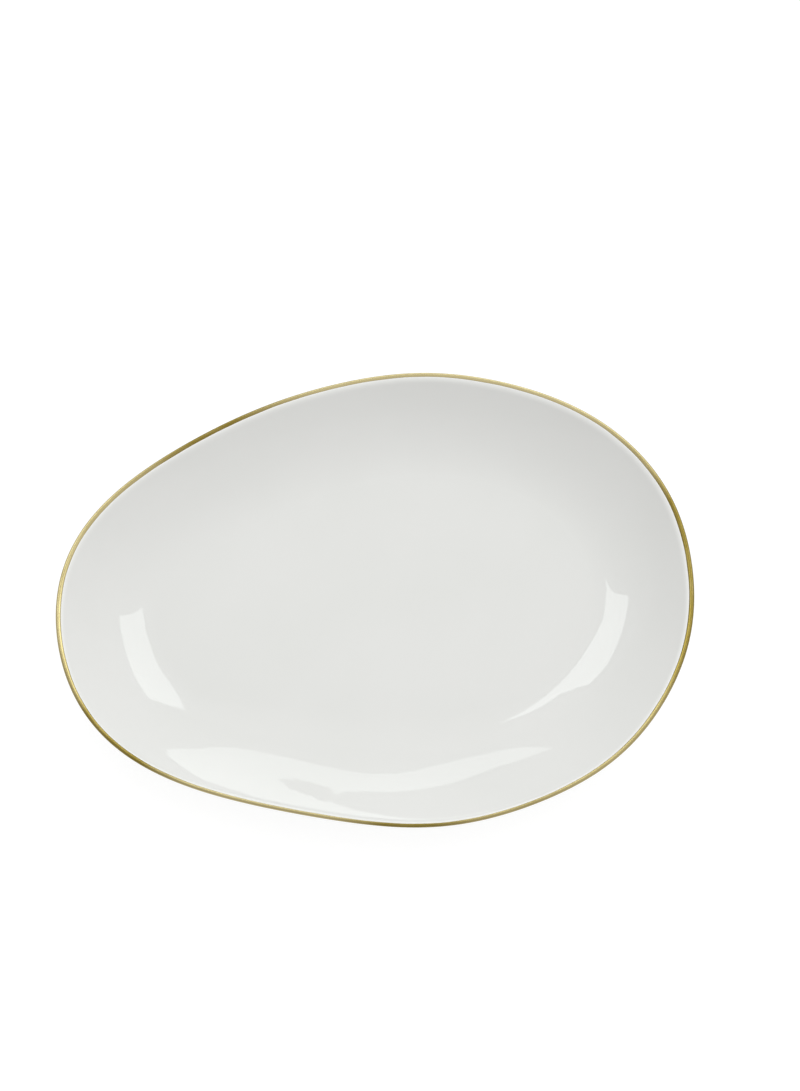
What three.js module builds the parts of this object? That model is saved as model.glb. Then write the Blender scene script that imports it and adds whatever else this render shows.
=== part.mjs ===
// Serving platter: a free-form oval coupe dish in glazed porcelain with a gilt lip.
// Millimetres, +Z up. The origin lies under the middle of the rim, at the level the foot stands on.
//
// Every solid is built from one cross-section that is carried round the rim's outline. A point of
// the section has an inset (how far inside the outline it lies, in plan) and a height.
import * as THREE from 'three';

// Driving dimensions
const LENGTH = 360;            // over the rim, along X
const HEIGHT = 32.5;           // crest of the lip above the table
const FLOOR_LEVEL = 8.5;       // upper face of the flat floor
const UNDER_LEVEL = 4;         // underside of the floor, inside and outside the foot ring
const WALL_RUN = 56;           // inset of the line where the wall starts to rise from the floor
const WIDE_RUN = 26;           // the inner wall runs this much further in at its widest place
const WIDE_TOWARDS = -85;      // where that place is, in degrees from +X towards +Y
const WIDE_POWER = 1.5;        // how soon the wall narrows on either side of it
const WALL_POWER = 1.9;        // how the inner wall steepens towards the lip
const BACK_POWER = 1.95;       // the same, for the outside of the wall
const SHOULDER_RADIUS = 4.5;   // roll of the lip on its inner side
const SHOULDER_INSET = 3.83;   // where the inner wall meets that roll
const LIP_RADIUS = 1;          // roll of the lip on its outer side
const LIP_END_DEGREES = 228;   // where that roll ends under the lip, counted from level inwards
const FOOT_OUTER_INSET = 59;   // outer side of the foot ring
const FOOT_INNER_INSET = 66;   // inner side of the foot ring
const FOOT_CHAMFER = 0.9;      // rounding of the dry standing face, as an inset
const DRY_FOOT_HEIGHT = 1.2;   // the glaze is wiped off below this height
const GLAZE = 0.3;             // thickness of the glaze
const GILT = 0.12;             // thickness that stands in for the gold
const GILT_WIDTH = 2.45;       // mean inset of the band's inner edge
const GILT_END_EXTRA = 0.3;    // the hand-drawn band is wider at the two ends
const GILT_BACK_EXTRA = 0.3;   // and wider at the back than at the front
const AROUND = 58;             // steps round the outline
const TURN_SPAN = 4;           // steps each way over which the outline's direction is taken
const WALL_STEPS = 4;          // steps up the wall

// The rim in plan, as the points that its free-form oval needs
const RIM_POINTS = [
  [180, -6], [170, 62], [134, 111], [83, 138], [24, 147], [-27, 138],
  [-71, 121], [-114, 95], [-155, 59], [-179, 7], [-168, -65], [-129, -109],
  [-75, -131], [-25, -142], [30, -147], [77, -137], [130, -108], [166, -60],
];

// How far in the wall runs, by the direction seen from the middle. It is widest at the front.
function wallRun(angle) {
  const off = Math.cos(angle - THREE.MathUtils.degToRad(WIDE_TOWARDS));
  return WALL_RUN + WIDE_RUN * Math.max(0, off) ** WIDE_POWER;
}

// Rim outline: AROUND points, centred on the origin and scaled to LENGTH, each with the unit
// vector that points inwards in plan, its direction from the middle and its wall's run. The vector
// is taken across several steps, so that the wall flows evenly round the dish.
function rimOutline() {
  const knots = RIM_POINTS.map(([x, y]) => new THREE.Vector3(x, y, 0));
  const curve = new THREE.CatmullRomCurve3(knots, true, 'centripetal');
  const points = curve.getSpacedPoints(AROUND).slice(0, AROUND);
  const box = new THREE.Box3().setFromPoints(points);
  const middle = box.getCenter(new THREE.Vector3());
  const scale = LENGTH / (box.max.x - box.min.x);
  return points.map((point, i) => {
    const ahead = points[(i + TURN_SPAN) % AROUND].clone();
    const tangent = ahead.sub(points[(i + AROUND - TURN_SPAN) % AROUND]).normalize();
    const x = (point.x - middle.x) * scale;
    const y = (point.y - middle.y) * scale;
    const angle = Math.atan2(y, x);
    return { x, y, inX: -tangent.y, inY: tangent.x, angle, run: wallRun(angle) };
  });
}

const outline = rimOutline();

// A spot is a place on the cross-section. It gives the inset and height of the glazed surface and
// the outward normal there, as [inset, height] directions. A place makes the spot for a rim point.
function spot(inset, height, normalInset = 0, normalHeight = 0) {
  const length = Math.hypot(normalInset, normalHeight) || 1;
  return { inset, height, normal: [normalInset / length, normalHeight / length] };
}

// The lip: a wide roll inside the crest and a tight roll outside it.
const shoulderCentre = HEIGHT - SHOULDER_RADIUS;
const lipCentre = HEIGHT - LIP_RADIUS;

function shoulderSpot(inset) {
  const across = inset - LIP_RADIUS;
  const up = Math.sqrt(SHOULDER_RADIUS ** 2 - across ** 2);
  return spot(inset, shoulderCentre + up, across, up);
}

function lipSpot(degrees) {
  const angle = THREE.MathUtils.degToRad(degrees);
  const across = Math.cos(angle);
  const up = Math.sin(angle);
  return spot(LIP_RADIUS * (1 + across), lipCentre + LIP_RADIUS * up, across, up);
}

// The inner wall rises as a power curve from the floor and meets the shoulder's roll.
const shoulderHeight = shoulderSpot(SHOULDER_INSET).height;

const facePlace = (rise) => (rim) => {
  const run = rim.run - SHOULDER_INSET;
  const drop = shoulderHeight - FLOOR_LEVEL;
  const slope = (drop / run) * WALL_POWER * rise ** (WALL_POWER - 1);
  return spot(rim.run - run * rise, FLOOR_LEVEL + drop * rise ** WALL_POWER, slope, 1);
};

// The outside of the wall falls from the lip's lower edge to the root of the foot ring.
const lipEnd = lipSpot(LIP_END_DEGREES);

const backPlace = (rise) => () => {
  const run = FOOT_OUTER_INSET - lipEnd.inset;
  const drop = lipEnd.height - UNDER_LEVEL;
  const slope = (drop / run) * BACK_POWER * rise ** (BACK_POWER - 1);
  return spot(FOOT_OUTER_INSET - run * rise, UNDER_LEVEL + drop * rise ** BACK_POWER, -slope, -1);
};

// The gilt band's inner edge on the shoulder, where its inset changes round the rim.
function giltEdge(rim) {
  const ends = GILT_END_EXTRA * Math.cos(2 * rim.angle);
  return shoulderSpot(GILT_WIDTH + ends + GILT_BACK_EXTRA * Math.sin(rim.angle));
}

const lipPlace = (degrees) => () => lipSpot(degrees);

// A ring is the closed line that a place draws round the dish, raised above its surface by lift.
function ring(place, lift = 0) {
  return outline.map((rim) => {
    const { inset, height, normal } = place(rim);
    const across = inset + lift * normal[0];
    return [rim.x + rim.inX * across, rim.y + rim.inY * across, height + lift * normal[1]];
  });
}

const plainRing = (inset, height) => ring(() => spot(inset, height));

// Skin of rings joined in order. Each entry is a ring, or a height for a point on the dish's middle
// axis. A section that doesn't start and end on the axis closes on itself. Each four-sided facet is
// split along its shorter diagonal, so two skins that share a face split it alike and lie flush.
function skin(name, sections, material) {
  const positions = [];
  const index = [];
  const starts = sections.map((section) => {
    const start = positions.length / 3;
    const points = Array.isArray(section) ? section : [[0, 0, section]];
    points.forEach((point) => positions.push(...point));
    return { start, count: points.length };
  });
  const gap = (m, n) => Math.hypot(...[0, 1, 2].map((k) => (
    positions[3 * m + k] - positions[3 * n + k])));
  const onAxis = starts[0].count === 1;
  const strips = onAxis ? starts.length - 1 : starts.length;
  for (let k = 0; k < strips; k += 1) {
    const a = starts[k];
    const b = starts[(k + 1) % starts.length];
    for (let i = 0; i < AROUND; i += 1) {
      const j = (i + 1) % AROUND;
      if (a.count === 1) {
        index.push(a.start, b.start + i, b.start + j);
      } else if (b.count === 1) {
        index.push(a.start + i, b.start, a.start + j);
      } else if (gap(a.start + i, b.start + j) < gap(a.start + j, b.start + i)) {
        index.push(a.start + i, b.start + i, b.start + j);
        index.push(a.start + i, b.start + j, a.start + j);
      } else {
        index.push(a.start + i, b.start + i, a.start + j);
        index.push(b.start + i, b.start + j, a.start + j);
      }
    }
  }
  const geometry = new THREE.BufferGeometry();
  geometry.setAttribute('position', new THREE.Float32BufferAttribute(positions, 3));
  geometry.setIndex(index);
  geometry.computeVertexNormals();
  const mesh = new THREE.Mesh(geometry, material);
  mesh.name = name;
  return mesh;
}

// Places on the section, from the floor's edge up the face to the crest, and down the back.
const rises = Array.from({ length: WALL_STEPS + 1 }, (_, k) => k / WALL_STEPS);
const crest = lipPlace(90);
const facePlaces = [...rises.map(facePlace), giltEdge, crest];
const lipPlaces = [lipPlace(135), lipPlace(180), lipPlace(LIP_END_DEGREES)];
const backPlaces = rises.slice(1, -1).reverse().map(backPlace);

const faceRings = (lift) => facePlaces.map((place) => ring(place, lift));
const outerRings = (lift) => [...lipPlaces, ...backPlaces].map((place) => ring(place, lift));

// Rings beside the foot ring, on the glaze and on the bare clay behind it: at the roots where it
// leaves the floor, and at the lines below which the glaze is wiped off.
const bareOuter = FOOT_OUTER_INSET + GLAZE;
const bareInner = FOOT_INNER_INSET - GLAZE;
const bareLevel = UNDER_LEVEL + GLAZE;
const rootOuter = plainRing(FOOT_OUTER_INSET, UNDER_LEVEL);
const rootInner = plainRing(FOOT_INNER_INSET, UNDER_LEVEL);
const bareRootOuter = plainRing(bareOuter, bareLevel);
const bareRootInner = plainRing(bareInner, bareLevel);
const wipeOuter = plainRing(FOOT_OUTER_INSET, DRY_FOOT_HEIGHT);
const wipeInner = plainRing(FOOT_INNER_INSET, DRY_FOOT_HEIGHT);
const bareWipeOuter = plainRing(bareOuter, DRY_FOOT_HEIGHT);
const bareWipeInner = plainRing(bareInner, DRY_FOOT_HEIGHT);

const finish = (color, roughness, metalness = 0) =>
  new THREE.MeshStandardMaterial({ color, roughness, metalness });

// Fired clay: floor, wall and lip.
function porcelainBody() {
  const sections = [FLOOR_LEVEL - GLAZE, ...faceRings(-GLAZE), ...outerRings(-GLAZE),
    bareRootOuter, bareRootInner, bareLevel];
  return skin('porcelain_body', sections, finish(0xeeece6, 0.8));
}

// Standing ring, luted to the underside, with a dry standing face.
function footRing() {
  const treadOuter = plainRing(bareOuter + FOOT_CHAMFER, 0);
  const treadInner = plainRing(bareInner - FOOT_CHAMFER, 0);
  const sections = [bareRootInner, bareRootOuter, bareWipeOuter, treadOuter, treadInner,
    bareWipeInner];
  return skin('foot_ring', sections, finish(0xe6e1d6, 0.9));
}

// Glaze on the upper face, as far as the crest of the lip.
function faceGlaze() {
  const behind = faceRings(-GLAZE).reverse();
  const sections = [FLOOR_LEVEL, ...faceRings(0), ...behind, FLOOR_LEVEL - GLAZE];
  return skin('face_glaze', sections, finish(0xf4f5f0, 0.08));
}

// Glaze on the outside, from the crest to the wiped line on the foot ring.
function backGlaze() {
  const outside = [ring(crest), ...outerRings(0), rootOuter, wipeOuter];
  const behind = [ring(crest, -GLAZE), ...outerRings(-GLAZE), bareRootOuter, bareWipeOuter];
  return skin('back_glaze', [...outside, ...behind.reverse()], finish(0xf3f4ef, 0.09));
}

// Glaze in the recess inside the foot ring.
function footWellGlaze() {
  const sections = [bareLevel, bareRootInner, bareWipeInner, wipeInner, rootInner,
    UNDER_LEVEL];
  return skin('foot_well_glaze', sections, finish(0xf2f3ee, 0.1));
}

// Burnished gold over the glaze of the lip.
function giltRimBand() {
  const places = [giltEdge, crest, ...lipPlaces];
  const outside = places.map((place) => ring(place, GILT));
  const inside = places.map((place) => ring(place)).reverse();
  return skin('gilt_rim_band', [...outside, ...inside], finish(0xb79a55, 0.25, 1));
}

const platter = new THREE.Group();
platter.name = 'serving_platter';
platter.add(porcelainBody(), footRing(), faceGlaze(), backGlaze(), footWellGlaze(), giltRimBand());

export default platter;
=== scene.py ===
"""Looks of a gilt-rimmed porcelain serving platter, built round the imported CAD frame.

Everything is in metres, in the CAD's frame: +Z up, with the foot standing on z = 0. The pieces are
smooth skins that follow one cross-section round the rim's outline, as the faceted CAD solids do.
"""

import math

import bpy
import numpy as np
from mathutils import Matrix, Vector


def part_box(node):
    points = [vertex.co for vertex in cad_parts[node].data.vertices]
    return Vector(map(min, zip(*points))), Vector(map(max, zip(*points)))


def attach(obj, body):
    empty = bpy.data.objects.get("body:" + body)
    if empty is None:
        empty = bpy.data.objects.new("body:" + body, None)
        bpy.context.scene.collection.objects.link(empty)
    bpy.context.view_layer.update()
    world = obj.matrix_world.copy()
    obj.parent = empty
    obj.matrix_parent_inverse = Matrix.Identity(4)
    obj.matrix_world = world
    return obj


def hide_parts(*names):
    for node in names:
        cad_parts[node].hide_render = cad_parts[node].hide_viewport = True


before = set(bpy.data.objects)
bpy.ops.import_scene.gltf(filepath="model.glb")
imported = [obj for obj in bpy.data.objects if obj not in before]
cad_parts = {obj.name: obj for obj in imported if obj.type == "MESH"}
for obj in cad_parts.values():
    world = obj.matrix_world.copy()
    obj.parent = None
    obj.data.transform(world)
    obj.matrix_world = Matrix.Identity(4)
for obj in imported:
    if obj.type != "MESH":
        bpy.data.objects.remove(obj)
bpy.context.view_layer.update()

MM = 0.001

# Fineness of the skins
AROUND = 360                     # steps round the outline
SMOOTHEST = 11                   # waves round the rim that the smooth outline keeps
TURN_SPAN = 4                    # CAD steps each way over which the outline's direction is taken
FACE_STEPS = 44
SHOULDER_STEPS = 10
LIP_STEPS = 14
BACK_STEPS = 32
FILLET_STEPS = 6
TREAD_STEPS = 5
GILT_ROLL_STEPS = 8
FLOOR_RINGS = 24                 # from the foot of the wall to the middle of the dish
WELL_RINGS = 14
HIDDEN_RINGS = 6                 # on the flat sides where two pieces touch
WELL_HIDDEN_RINGS = 4

# The cross-section, as the CAD has it
WALL_RUN = 56 * MM
WIDE_RUN = 26 * MM
WIDE_TOWARDS = math.radians(-85)
WIDE_POWER = 1.5
WALL_POWER = 1.9
BACK_POWER = 1.95
SHOULDER_RADIUS = 4.5 * MM
SHOULDER_INSET = 3.83 * MM
LIP_RADIUS = 1 * MM
LIP_END = math.radians(228)
FOOT_OUTER_INSET = 59 * MM
FOOT_INNER_INSET = 66 * MM
DRY_FOOT_HEIGHT = 1.2 * MM
GLAZE = 0.3 * MM
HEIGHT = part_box("back_glaze")[1].z
FLOOR_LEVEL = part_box("face_glaze")[0].z + GLAZE
UNDER_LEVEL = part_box("foot_well_glaze")[1].z - GLAZE

# Gilding
GILT_LIFT = 0.07 * MM            # of its outer side above the glaze
GILT_SINK = 0.02 * MM            # of its inner side below it, so that no gap shows
GILT_WIDTH = 2.6 * MM
GILT_END_EXTRA = 0.3 * MM
GILT_BACK_EXTRA = 0.6 * MM
GILT_STOP = LIP_END - math.radians(4)
# Painted highlights on the gold, where it is made paler: the angle, the reach to each side and how
# strong each is
GOLD_HIGHLIGHTS = [(72, 54, 1), (172, 34, 0.75), (246, 26, 0.8), (312, 30, 0.6)]

# Glaze
HIGHLIGHT_REACH = 2.6 * MM            # a highlight is painted on the glaze about this far in from the gold
HIGHLIGHT_STRONGEST = math.radians(60)      # the painted highlight is strongest at this angle round the rim
FOOT_FILLET = 1.3 * MM           # it pools in the corners beside the foot ring
WIPED_POOL = -0.3                # and a little along the wiped edge

# Foot
TREAD_RADIUS = 0.9 * MM

# Colours
GLAZE_WHITE = (0.652, 0.653, 0.634)
GLAZE_CLOUD = (0.664, 0.663, 0.646)
# Lighter glaze for the painted highlight beside the gold
GLAZE_PAINTED_HIGHLIGHT = (0.82, 0.82, 0.8)
GLAZE_POOLED = (0.56, 0.58, 0.555)
IRON_SPECK = (0.36, 0.33, 0.28)
PINHOLE_GREY = (0.5, 0.49, 0.46)
BISQUE_DARK = (0.55, 0.52, 0.46)
BISQUE_LIGHT = (0.66, 0.63, 0.57)
BISQUE_STAIN = (0.6, 0.56, 0.49)
BISQUE_SPECK = (0.27, 0.23, 0.18)
RUBBED_GREY = (0.37, 0.36, 0.34)
GOLD_FULL = (0.2, 0.149, 0.032)
# Pale gold, for thin patches and for the painted highlight
GOLD_THIN_AND_HIGHLIGHT = (0.47, 0.402, 0.216)
GOLD_STREAK = (0.5, 0.43, 0.25)
# Painted shade for the band's outer edge
GOLD_EDGE_SHADE = (0.13, 0.095, 0.03)
PAPER_DARK = (0.34, 0.34, 0.34)
PAPER_LIGHT = (0.36, 0.36, 0.36)
PAPER_GLOW = 0.72
SOFTBOX_WHITE = (0.96, 1.0, 0.985)


# ---------------------------------------------------------------- outline and section

def rim_outline():
    """Points of the smooth rim and the unit vectors that point inwards, from the CAD's lip."""
    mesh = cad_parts["back_glaze"].data
    co = np.array([v.co for v in mesh.vertices])
    points = co[abs(co[:, 2] - (HEIGHT - LIP_RADIUS)) < 0.01 * MM][:, :2].round(6)
    points = np.unique(points, axis=0)
    # The glaze's inner side lies just behind each point of its outer side
    gaps = np.linalg.norm(points[:, None] - points, axis=2) + np.eye(len(points))
    reach = np.hypot(*points.T)
    ring = points[reach > reach[gaps.argmin(axis=1)]]
    ring = ring[np.argsort(np.arctan2(ring[:, 1], ring[:, 0]))]
    waves = np.fft.fft(ring[:, 0] + 1j * ring[:, 1]) / len(ring)
    order = np.fft.fftfreq(len(ring), 1 / len(ring))
    waves[abs(order) > SMOOTHEST] = 0
    t = np.arange(AROUND) * 2 * math.pi / AROUND
    turns = np.exp(1j * np.outer(t, order))
    point = turns @ waves
    span = round(AROUND * TURN_SPAN / len(ring))
    along = np.roll(point, -span) - np.roll(point, span)
    inward = 1j * along / abs(along)
    lo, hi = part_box("back_glaze")
    grow_x = (hi.x - lo.x) / np.ptp(point.real)
    grow_y = (hi.y - lo.y) / np.ptp(point.imag)
    x = (point.real - point.real.min()) * grow_x + lo.x
    y = (point.imag - point.imag.min()) * grow_y + lo.y
    return np.stack([x, y], 1), np.stack([inward.real, inward.imag], 1)


rim, inward = rim_outline()
around_angle = np.arctan2(rim[:, 1], rim[:, 0])
wall_run = WALL_RUN + WIDE_RUN * np.maximum(0, np.cos(around_angle - WIDE_TOWARDS)) ** WIDE_POWER


def steps(low, high, count):
    """The ends of a number of equal steps from low to high."""
    return np.linspace(low, high, count + 1)


def place(inset, height, across=0.0, up=1.0):
    """A place on the section: its inset, height and outward normal. Each may vary round the rim."""
    size = np.hypot(across, up)
    return inset, height, across / size, up / size


def shoulder(inset):
    """The roll from the wall's top to the lip's crest, by how far in from the rim."""
    across = inset - LIP_RADIUS
    up = np.sqrt(SHOULDER_RADIUS**2 - across**2)
    return place(inset, HEIGHT - SHOULDER_RADIUS + up, across, up)


def lip(angle):
    """The round lip, by the turn from straight inwards: the crest is at a quarter turn."""
    across, up = np.cos(angle), np.sin(angle)
    return place(LIP_RADIUS * (1 + across), HEIGHT - LIP_RADIUS * (1 - up), across, up)


def face(rise):
    """The wall's upper face, from 0 where the floor ends to 1 at the shoulder."""
    run = wall_run - SHOULDER_INSET
    drop = shoulder(SHOULDER_INSET)[1] - FLOOR_LEVEL
    slope = drop / run * WALL_POWER * rise ** (WALL_POWER - 1)
    return place(wall_run - run * rise, FLOOR_LEVEL + drop * rise**WALL_POWER, slope, 1)


def back(rise):
    """The wall's outside, from 0 at the foot ring to 1 under the lip."""
    end = lip(LIP_END)
    run = FOOT_OUTER_INSET - end[0]
    drop = end[1] - UNDER_LEVEL
    slope = drop / run * BACK_POWER * rise ** (BACK_POWER - 1)
    return place(FOOT_OUTER_INSET - run * rise, UNDER_LEVEL + drop * rise**BACK_POWER, -slope, -1)


def ring(spot, lift=0.0):
    """The closed line that a place draws round the dish, raised above its surface by lift."""
    inset = spot[0] + lift * spot[2]
    height = spot[1] + lift * spot[3]
    points = np.empty((AROUND, 3))
    points[:, :2] = rim + inward * np.broadcast_to(inset, AROUND)[:, None]
    points[:, 2] = height
    return points


def disc(edge, count, height):
    """The middle point at a height, then rings that grow from it towards an edge ring."""
    shares = steps(0, 1, count)[1:-1]
    middle = np.array([[0, 0, height]])
    return [middle] + [np.column_stack([edge[:, :2] * s, edge[:, 2]]) for s in shares]


def skin(name, rings, closed, material):
    """A mesh that joins rings in order. A closed skin joins the last ring to the first."""
    starts = np.cumsum([0] + [len(r) for r in rings])
    faces = []
    for k in range(len(rings) if closed else len(rings) - 1):
        n = (k + 1) % len(rings)
        a, b = starts[k], starts[n]
        for i in range(AROUND):
            j = (i + 1) % AROUND
            if len(rings[k]) == 1:
                faces.append((a, b + i, b + j))
            elif len(rings[n]) == 1:
                faces.append((a + i, b, a + j))
            else:
                faces.append((a + i, b + i, b + j, a + j))
    mesh = bpy.data.meshes.new(name)
    mesh.from_pydata(np.concatenate(rings).tolist(), [], faces)
    mesh.shade_smooth()
    mesh.materials.append(material)
    piece = bpy.data.objects.new(name, mesh)
    bpy.context.scene.collection.objects.link(piece)
    return piece


def paint(piece, name, rings, values):
    """Store a number on each vertex. A value is one number for its ring, or one for each point."""
    numbers = np.concatenate([np.broadcast_to(v, len(r)) for r, v in zip(rings, values)])
    attribute = piece.data.attributes.new(name, "FLOAT", "POINT")
    attribute.data.foreach_set("value", numbers.astype(np.float32))


def wobble(size, waves, seed):
    """An uneven hand-made line round the dish, as so much more or less at each point."""
    random = np.random.default_rng(seed)
    phases = random.uniform(0, 2 * math.pi, len(waves))
    parts = [np.sin(n * around_angle + f) for n, f in zip(waves, phases)]
    return size * np.sum(parts, axis=0) / math.sqrt(len(waves))


# ---------------------------------------------------------------- materials

class Shading:
    """A Principled material and short ways to add nodes to it."""

    def __init__(self, name, metallic=0.0):
        self.material = bpy.data.materials.new(name)
        self.material.use_nodes = True
        self.nodes = self.material.node_tree.nodes
        self.links = self.material.node_tree.links
        self.shader = self.nodes["Principled BSDF"]
        self.shader.inputs["Metallic"].default_value = metallic
        self.place = self.nodes.new("ShaderNodeTexCoord").outputs["Object"]

    def feed(self, source, target):
        if isinstance(source, bpy.types.NodeSocket):
            self.links.new(source, target)
        else:
            target.default_value = source

    def math(self, operation, a, b=0.0, clamp=False):
        node = self.nodes.new("ShaderNodeMath")
        node.operation = operation
        node.use_clamp = clamp
        self.feed(a, node.inputs[0])
        self.feed(b, node.inputs[1])
        return node.outputs[0]

    def number(self, name):
        """A number that paint() stored on the mesh."""
        node = self.nodes.new("ShaderNodeAttribute")
        node.attribute_name = name
        return node.outputs["Fac"]

    def vector(self, x, y, z=0.0):
        node = self.nodes.new("ShaderNodeCombineXYZ")
        for value, target in zip((x, y, z), node.inputs):
            self.feed(value, target)
        return node.outputs[0]

    def noise(self, scale, detail=2.0, roughness=0.5, vector=None):
        node = self.nodes.new("ShaderNodeTexNoise")
        node.inputs["Scale"].default_value = scale
        node.inputs["Detail"].default_value = detail
        node.inputs["Roughness"].default_value = roughness
        self.links.new(vector or self.place, node.inputs["Vector"])
        return node.outputs[0]

    def spots(self, scale, size, share, seed_shift=0.0):
        """Small round spots: 1 inside, 0 outside. Only a share of the cells has one."""
        shift = self.nodes.new("ShaderNodeVectorMath")
        shift.inputs[1].default_value = (seed_shift,) * 3
        self.links.new(self.place, shift.inputs[0])
        cells = self.nodes.new("ShaderNodeTexVoronoi")
        cells.inputs["Scale"].default_value = scale
        self.links.new(shift.outputs[0], cells.inputs["Vector"])
        split = self.nodes.new("ShaderNodeSeparateColor")
        self.links.new(cells.outputs["Color"], split.inputs[0])
        chosen = self.math("LESS_THAN", split.outputs[0], share)
        reach = self.math("MULTIPLY", split.outputs[1], size * scale)
        inside = self.ramp(self.math("DIVIDE", cells.outputs["Distance"], reach), 1.0, 0.6)
        return self.math("MULTIPLY", inside, chosen)

    def ramp(self, value, low, high):
        """0 at low and below, 1 at high and beyond, smooth between. High may be less than low."""
        node = self.nodes.new("ShaderNodeMapRange")
        node.interpolation_type = "SMOOTHSTEP"
        self.feed(value, node.inputs["Value"])
        if low > high:
            low, high = high, low
            node.inputs["To Min"].default_value, node.inputs["To Max"].default_value = 1, 0
        node.inputs["From Min"].default_value, node.inputs["From Max"].default_value = low, high
        return node.outputs["Result"]

    def mix(self, factor, a, b):
        node = self.nodes.new("ShaderNodeMix")
        node.data_type = "RGBA"
        self.feed(factor, node.inputs["Factor"])
        for colour, target in zip((a, b), (node.inputs["A"], node.inputs["B"])):
            self.feed(colour if isinstance(colour, bpy.types.NodeSocket) else (*colour, 1), target)
        return node.outputs["Result"]

    def bump(self, height, depth, below=None):
        """Raise the surface by up to depth, in metres, where height goes from 0 to 1."""
        node = self.nodes.new("ShaderNodeBump")
        node.inputs["Strength"].default_value = 1.0
        node.inputs["Distance"].default_value = depth
        self.links.new(height, node.inputs["Height"])
        if below:
            self.links.new(below, node.inputs["Normal"])
        return node.outputs["Normal"]

    def finish(self, colour, roughness=None, normal=None):
        self.links.new(colour, self.shader.inputs["Base Color"])
        if roughness:
            self.links.new(roughness, self.shader.inputs["Roughness"])
        if normal:
            self.links.new(normal, self.shader.inputs["Normal"])
        return self.material


def glaze_material():
    """High-gloss white glaze: faint clouding, a few specks and pinholes, and a soft orange peel.

    The number "tint" on the mesh runs from -1, where the glaze pools, to 1, where a highlight is
    painted beside the gold.
    """
    m = Shading("white_glaze")
    m.shader.inputs["IOR"].default_value = 1.5
    clouds = m.ramp(m.noise(14, 3), 0.3, 0.7)
    colour = m.mix(clouds, GLAZE_WHITE, GLAZE_CLOUD)
    # Painted highlight: the glaze is made lighter on the shoulder just inside the gold
    colour = m.mix(m.ramp(m.number("tint"), 0, 1), colour, GLAZE_PAINTED_HIGHLIGHT)
    colour = m.mix(m.ramp(m.number("tint"), 0, -1), colour, GLAZE_POOLED)
    specks = m.spots(45, 0.42 * MM, 0.06)
    pinholes = m.spots(70, 0.3 * MM, 0.05, 3.7)
    colour = m.mix(specks, colour, IRON_SPECK)
    colour = m.mix(m.math("MULTIPLY", pinholes, 0.3), colour, PINHOLE_GREY)
    smears = m.ramp(m.noise(22, 4, 0.6), 0.55, 0.78)
    roughness = m.math("ADD", m.math("MULTIPLY", smears, 0.02), 0.005)
    peel = m.bump(m.noise(70, 2), 0.012 * MM)
    flow = m.bump(m.noise(16, 1), 0.09 * MM, peel)
    dips = m.bump(m.math("SUBTRACT", 1.0, pinholes), 0.05 * MM, flow)
    return m.finish(colour, roughness, dips)


def bisque_material():
    """Dry fired porcelain: fine grit, a few dark specks, and grey rubbing where the foot stands."""
    m = Shading("bisque")
    grain = m.noise(900, 3, 0.7)
    colour = m.mix(m.ramp(grain, 0.35, 0.7), BISQUE_DARK, BISQUE_LIGHT)
    colour = m.mix(m.ramp(m.noise(60, 4), 0.45, 0.7), colour, BISQUE_STAIN)
    colour = m.mix(m.spots(420, 0.6 * MM, 0.12), colour, BISQUE_SPECK)
    split = m.nodes.new("ShaderNodeSeparateXYZ")
    m.links.new(m.place, split.inputs[0])
    low = m.ramp(split.outputs["Z"], 0.6 * MM, 0.0)
    rubbed = m.math("MULTIPLY", low, m.ramp(m.noise(130, 5, 0.65), 0.42, 0.62))
    colour = m.mix(m.math("MULTIPLY", rubbed, 0.6), colour, RUBBED_GREY)
    dry = m.math("ADD", m.math("MULTIPLY", grain, 0.2), 0.72)
    roughness = m.math("SUBTRACT", dry, m.math("MULTIPLY", rubbed, 0.2))
    coarse = m.bump(m.noise(260, 4, 0.6), 0.12 * MM)
    return m.finish(colour, roughness, m.bump(grain, 0.05 * MM, coarse))


def gilding_material():
    """Burnished gold laid on in brush strokes, dark where it is full and pale in random thin patches,
    with a painted highlight of pale gold at a few places round the rim and painted shade along its
    outer edge.

    On the mesh, "along" is the way round the rim in metres, "across" runs from 0 to 1 over the band
    and a third number is 1 where the painted highlight on the gold is strongest.
    """
    m = Shading("gilding", metallic=1.0)
    # The noise is drawn out lengthwise, as the brush goes
    along = m.math("MULTIPLY", m.number("along"), 60)
    across = m.math("MULTIPLY", m.number("across"), 9)
    streaks = m.noise(1, 3, 0.6, m.vector(along, across))
    patches = m.math("MULTIPLY", m.math("SUBTRACT", m.noise(28, 3), 0.5), 0.7)
    # Paler gold: a painted highlight at a few places round the rim, plus random thin patches
    paleness = m.math("ADD", m.number("paleness"), patches, clamp=True)
    colour = m.mix(paleness, GOLD_FULL, GOLD_THIN_AND_HIGHLIGHT)
    colour = m.mix(m.math("MULTIPLY", m.ramp(streaks, 0.5, 0.8), 0.35), colour, GOLD_STREAK)
    # Painted shade: the band's outer edge, where it rolls under the lip, is darker
    edge = m.ramp(m.number("across"), 0.8, 1.0)
    colour = m.mix(m.math("MULTIPLY", edge, 0.75), colour, GOLD_EDGE_SHADE)
    roughness = m.math("ADD", m.math("MULTIPLY", streaks, 0.2), 0.13)
    brushed = m.bump(streaks, 0.02 * MM)
    grit = m.bump(m.noise(1400, 2), 0.006 * MM, brushed)
    return m.finish(colour, roughness, grit)


def floor_material():
    """White paper of the light table. It glows a little, so that it comes out white."""
    m = Shading("studio_floor")
    m.shader.inputs["Roughness"].default_value = 1.0
    m.shader.inputs["Specular IOR Level"].default_value = 0
    m.shader.inputs["Emission Color"].default_value = (1, 1, 1, 1)
    m.shader.inputs["Emission Strength"].default_value = PAPER_GLOW
    return m.finish(m.mix(m.noise(400, 2), PAPER_DARK, PAPER_LIGHT))


# ---------------------------------------------------------------- pieces

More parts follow.
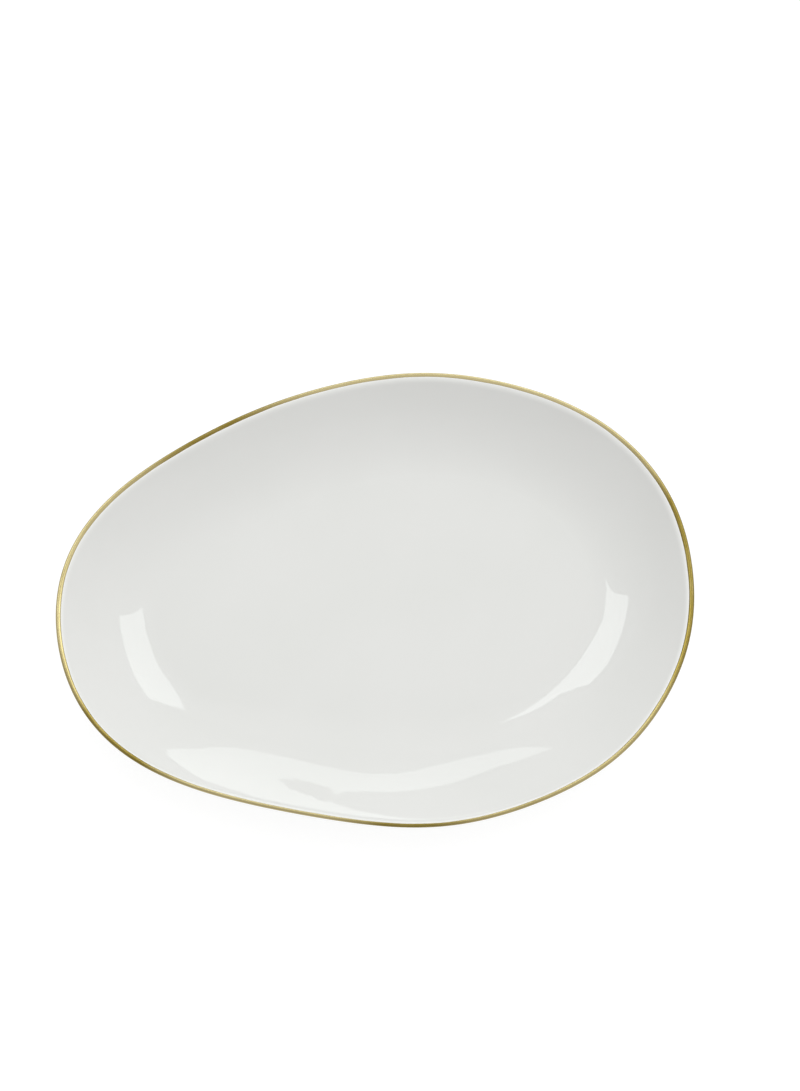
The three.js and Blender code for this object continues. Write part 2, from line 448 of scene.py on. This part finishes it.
def section_face():
    """Places up the face, from the foot of the wall to the crest of the lip."""
    wall = [face(s) for s in steps(0, 1, FACE_STEPS)]
    roll = [shoulder(n) for n in steps(SHOULDER_INSET, LIP_RADIUS, SHOULDER_STEPS)[1:]]
    return wall + roll


def section_lip():
    """Places over the lip, from its crest to under its outer side."""
    return [lip(a) for a in steps(math.pi / 2, LIP_END, LIP_STEPS)]


def section_back():
    """Places down the outside, from under the lip to the fillet beside the foot ring."""
    start = FOOT_FILLET / (FOOT_OUTER_INSET - lip(LIP_END)[0])
    return [back(s) for s in steps(1, start, BACK_STEPS)[1:]]


def fillet(inset, side):
    """The rounded corner between the underside and one side of the foot ring: -1 outer, 1 inner."""
    places = []
    for a in steps(0, math.pi / 2, FILLET_STEPS)[1:]:
        away = FOOT_FILLET * (1 - math.sin(a))
        down = FOOT_FILLET * (1 - math.cos(a))
        places.append(place(inset + side * away, UNDER_LEVEL - down, side * math.sin(a), -math.cos(a)))
    return places


def wiped_edge(inset, side, seed):
    """The glaze's rolled lower edge on one side of the foot ring, along an uneven line."""
    line = DRY_FOOT_HEIGHT + wobble(0.14 * MM, (5, 9, 17, 31), seed)
    return [
        place(inset, line + 0.28 * MM, side, 0),
        place(inset - side * 0.06 * MM, line + 0.1 * MM, side, -1),
        place(inset - side * 0.2 * MM, line, side, -2),
        place(inset - side * GLAZE, line + 0.02 * MM, 0, -1),
    ]


def pooling(corner):
    """The tint over a fillet's rings: the glaze pools most in its middle."""
    return list(-np.sin(steps(0, math.pi, len(corner) + 1))[1:-1])


glaze = glaze_material()
bisque = bisque_material()
gilding = gilding_material()


def face_glaze():
    """The coat on the floor, the wall and the shoulder, with a highlight painted on it beside the
    gold.
    """
    places = section_face()
    outer = [ring(p) for p in places]
    inner = [ring(p, -GLAZE) for p in places]
    top = disc(outer[0], FLOOR_RINGS, FLOOR_LEVEL) + outer
    under = disc(inner[0], HIDDEN_RINGS, FLOOR_LEVEL - GLAZE) + inner
    rings = top + under[::-1]
    piece = skin("glazed_face", rings, False, glaze)
    # A highlight is painted just inside the gold, stronger on some sides of the rim than on others
    start = gilt_edge_inset()
    most = 0.75 + 0.25 * np.cos(around_angle - HIGHLIGHT_STRONGEST)
    reach = HIGHLIGHT_REACH * (most + 0.25)
    paleness = [most * np.clip(1 - (inset - start) / reach, 0, 1) for inset, *rest in places]
    values = [0.0] * (len(top) - len(outer)) + paleness + [0.0] * len(under)
    paint(piece, "tint", rings, values)
    return piece


def back_glaze():
    """The coat over the lip and down the outside to the wiped edge on the foot ring."""
    wall = section_lip() + section_back()
    corner = fillet(FOOT_OUTER_INSET, -1)
    edge = wiped_edge(FOOT_OUTER_INSET, -1, 11)
    outer = [ring(p) for p in wall + corner + edge]
    bare = place(FOOT_OUTER_INSET + GLAZE, UNDER_LEVEL + GLAZE)
    inner = [ring(p, -GLAZE) for p in wall] + [ring(bare)]
    rings = outer + inner[::-1]
    piece = skin("glazed_back", rings, True, glaze)
    low = pooling(corner) + [WIPED_POOL] * len(edge)
    paint(piece, "tint", rings, [0.0] * len(wall) + low + [0.0] * len(inner))
    return piece


def foot_well_glaze():
    """The coat inside the foot ring, down to the wiped edge."""
    corner = fillet(FOOT_INNER_INSET, 1)
    edge = wiped_edge(FOOT_INNER_INSET, 1, 12)
    outer = [ring(place(FOOT_INNER_INSET + FOOT_FILLET, UNDER_LEVEL, 0, -1))]
    outer += [ring(p) for p in corner + edge]
    under = disc(outer[0], WELL_RINGS, UNDER_LEVEL)
    bare = ring(place(FOOT_INNER_INSET - GLAZE, UNDER_LEVEL + GLAZE))
    top = disc(bare, WELL_HIDDEN_RINGS, UNDER_LEVEL + GLAZE)
    rings = under + outer + [bare] + top[::-1]
    piece = skin("glazed_foot_well", rings, False, glaze)
    low = pooling(corner) + [WIPED_POOL] * len(edge)
    paint(piece, "tint", rings, [0.0] * (len(under) + 1) + low + [0.0] * (len(top) + 1))
    return piece


def foot_ring():
    """The ring's two sides, with corners rounded and rubbed where it stands."""
    outer, inner = FOOT_OUTER_INSET + GLAZE, FOOT_INNER_INSET - GLAZE
    radius = TREAD_RADIUS + wobble(0.12 * MM, (3, 7, 13, 29), 13)

    def corner(inset, side):
        turns = steps(0, math.pi / 2, TREAD_STEPS)
        aways = [side * radius * (1 - math.cos(a)) for a in turns]
        return [place(inset + away, TREAD_RADIUS * (1 - math.sin(a))) for a, away in zip(turns, aways)]

    middle = [place(outer + (inner - outer) * share, 0) for share in (0.3, 0.5, 0.7)]
    top = [place(inner, UNDER_LEVEL + GLAZE), place(outer, UNDER_LEVEL + GLAZE)]
    rings = [ring(p) for p in top + corner(outer, 1) + middle + corner(inner, -1)[::-1]]
    return skin("dry_foot_ring", rings, True, bisque)


def porcelain_body():
    """The fired clay that fills the room between the coats of glaze."""
    wall = section_face() + section_lip()[1:] + section_back()
    rings = [ring(p, -GLAZE) for p in wall]
    end = ring(place(FOOT_OUTER_INSET + GLAZE, UNDER_LEVEL + GLAZE))
    top = disc(rings[0], HIDDEN_RINGS, FLOOR_LEVEL - GLAZE)
    under = disc(end, HIDDEN_RINGS, UNDER_LEVEL + GLAZE)
    return skin("bisque_body", top + rings + [end] + under[::-1], False, bisque)


def gilt_edge_inset():
    """How far in the gold reaches on the face: more at the two ends and at the back."""
    ends = GILT_END_EXTRA * np.cos(2 * around_angle)
    back_edge = GILT_BACK_EXTRA * np.sin(around_angle)
    return GILT_WIDTH + ends + back_edge + wobble(0.05 * MM, (6, 11, 19, 34, 47), 14)


def gold_highlight_strength():
    """How strong the painted highlight on the gold is round the rim, from 0 to 1: each fades away from
    its middle.
    """
    paleness = np.zeros(AROUND)
    for angle, reach, most in GOLD_HIGHLIGHTS:
        away = (np.degrees(around_angle) - angle + 180) % 360 - 180
        paleness += most * np.clip(1 - abs(away / reach) ** 3, 0, 1)
    return paleness


def gilt_rim_band():
    """A film over the shoulder and the lip that tapers off at both edges."""
    width = gilt_edge_inset()
    stop = GILT_STOP + wobble(math.radians(2), (5, 12, 23, 41), 15)
    roll = [shoulder(width + (LIP_RADIUS - width) * s) for s in steps(0, 1, GILT_ROLL_STEPS)]
    turn = [math.pi / 2 + (stop - math.pi / 2) * s for s in steps(0, 1, LIP_STEPS)[1:]]
    places = roll + [lip(a) for a in turn]
    last = len(places) - 1
    # The film thins out over its first and its last two rings
    lifts = [GILT_LIFT * min(1, 0.15 + k / 2, 0.15 + (last - k) / 2) for k in range(last + 1)]
    outer = [ring(p, lift) for p, lift in zip(places, lifts)]
    inner = [ring(p, -GILT_SINK) for p in places]
    rings = outer + inner[::-1]
    piece = skin("gilt_band", rings, True, gilding)
    way = np.concatenate([[0], np.cumsum(np.hypot(*np.diff(rim, axis=0).T))])
    across = list(steps(0, 1, last))
    paint(piece, "along", rings, [way] * len(rings))
    paint(piece, "across", rings, across + across[::-1])
    # The painted highlight on the gold, by its place round the rim
    paint(piece, "paleness", rings, [gold_highlight_strength()] * len(rings))
    return piece


def add(piece, node):
    """Show a piece in place of its CAD node, on the platter's only body."""
    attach(piece, "root")
    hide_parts(node)


add(porcelain_body(), "porcelain_body")
add(foot_ring(), "foot_ring")
add(face_glaze(), "face_glaze")
add(back_glaze(), "back_glaze")
add(foot_well_glaze(), "foot_well_glaze")
add(gilt_rim_band(), "gilt_rim_band")


# ---------------------------------------------------------------- studio

FLOOR_SIZE = 30.0
SOFTBOX_DISTANCE = 9.0

# Corners of the softboxes by the direction in which the platter sees them, in degrees: the turn
# from +X towards +Y, and the height above the horizon
RIGHT_SOFTBOX = [(41, 46.5), (70.5, 34.5), (83, 41), (84.5, 54.5), (80.5, 58), (60, 60.5)]
LEFT_SOFTBOX = [(115, 59.5), (135, 45.5), (115, 40.5), (109, 41.5), (99, 49.5), (92.1, 48.5),
                (94.5, 56), (96, 57), (106, 56.5)]
BACK_SOFTBOX = [(78, 11), (83, 19), (87, 27), (91, 32.5), (94, 34.5), (96, 33.5), (102.5, 23),
                (97, 25.5), (93, 22.5), (88.5, 20), (86.6, 18.3), (86.25, 15.6), (86, 12.7),
                (85.88, 10.3), (86.2, 8.7), (97.5, 2), (97, 0.5), (84.5, 4), (82.5, 3.5), (78.5, 8)]


def studio_floor():
    mesh = bpy.data.meshes.new("studio_floor")
    half = FLOOR_SIZE / 2
    corners = [(-half, -half, 0), (half, -half, 0), (half, half, 0), (-half, half, 0)]
    mesh.from_pydata(corners, [], [(0, 1, 2, 3)])
    mesh.materials.append(floor_material())
    floor = bpy.data.objects.new("studio_floor", mesh)
    bpy.context.scene.collection.objects.link(floor)


def softbox(name, corners, brightness):
    """A flat bright panel that faces the platter."""
    rays = []
    for azimuth, elevation in corners:
        a, e = math.radians(azimuth), math.radians(elevation)
        rays.append(Vector((math.cos(a) * math.cos(e), math.sin(a) * math.cos(e), math.sin(e))))
    facing = sum(rays, Vector()).normalized()
    points = [r * SOFTBOX_DISTANCE / r.dot(facing) for r in rays]
    mesh = bpy.data.meshes.new(name)
    mesh.from_pydata(points, [], [list(range(len(points)))])
    material = bpy.data.materials.new(name)
    material.use_nodes = True
    nodes = material.node_tree.nodes
    nodes.clear()
    glow, output = nodes.new("ShaderNodeEmission"), nodes.new("ShaderNodeOutputMaterial")
    glow.inputs["Color"].default_value = (*SOFTBOX_WHITE, 1)
    glow.inputs["Strength"].default_value = brightness
    material.node_tree.links.new(glow.outputs[0], output.inputs["Surface"])
    mesh.materials.append(material)
    panel = bpy.data.objects.new(name, mesh)
    panel.visible_camera = False
    bpy.context.scene.collection.objects.link(panel)


def overhead_softbox(height, width, depth, back, brightness):
    """A broad level light above the platter, its middle set back by a distance along +Y."""
    light = bpy.data.lights.new("overhead_softbox", "AREA")
    light.shape = "RECTANGLE"
    light.size, light.size_y = width, depth
    light.energy = brightness * math.pi * width * depth
    lamp = bpy.data.objects.new("overhead_softbox", light)
    lamp.location = (0, back, height)
    lamp.visible_camera = False
    bpy.context.scene.collection.objects.link(lamp)


def light_tent(level, slant):
    """White cloth all round. Its brightness grows evenly in the slant's direction."""
    world = bpy.data.worlds.new("light_tent")
    world.use_nodes = True
    nodes, links = world.node_tree.nodes, world.node_tree.links
    coords = nodes.new("ShaderNodeTexCoord")
    along = nodes.new("ShaderNodeVectorMath")
    along.operation = "DOT_PRODUCT"
    along.inputs[1].default_value = slant
    total = nodes.new("ShaderNodeMath")
    total.inputs[1].default_value = level
    links.new(coords.outputs["Generated"], along.inputs[0])
    links.new(along.outputs["Value"], total.inputs[0])
    links.new(total.outputs[0], nodes["Background"].inputs["Strength"])
    nodes["Background"].inputs["Color"].default_value = (1, 1, 1, 1)
    bpy.context.scene.world = world


# ---------------------------------------------------------------- camera

ELEVATION = math.radians(59.7)
DISTANCE = 2.0035
LENS = 117.1                     # in millimetres, as is the sensor's width
SENSOR = 36
# The platter's middle is set off from the picture's by these shares of the frame's width there
FRAME_WIDTH = 0.451
SIDEWAYS = -0.0306
UPWARDS = -0.0569


def camera():
    """A long lens that looks down at the platter from the front."""
    forward = Vector((0, math.cos(ELEVATION), -math.sin(ELEVATION)))
    right = Vector((1, 0, 0))
    up = right.cross(forward)
    middle = Vector((0, 0, HEIGHT))
    data = bpy.data.cameras.new("camera")
    data.lens = LENS
    data.sensor_width = SENSOR
    view = bpy.data.objects.new("camera", data)
    offset = right * SIDEWAYS * FRAME_WIDTH + up * UPWARDS * FRAME_WIDTH
    turn = Matrix((right, up, -forward)).transposed().to_4x4()
    view.matrix_world = Matrix.Translation(middle - forward * DISTANCE - offset) @ turn
    bpy.context.scene.collection.objects.link(view)
    bpy.context.scene.camera = view


studio_floor()
light_tent(level=0.903, slant=(0.17, 0.12, 0.07))
overhead_softbox(height=2.8, width=7.2, depth=4.8, back=0.98, brightness=0.13)
softbox("right_softbox", RIGHT_SOFTBOX, brightness=3.4)
softbox("left_softbox", LEFT_SOFTBOX, brightness=3.6)
softbox("back_softbox", BACK_SOFTBOX, brightness=2.4)
camera()
bpy.context.scene.view_settings.view_transform = "Standard"
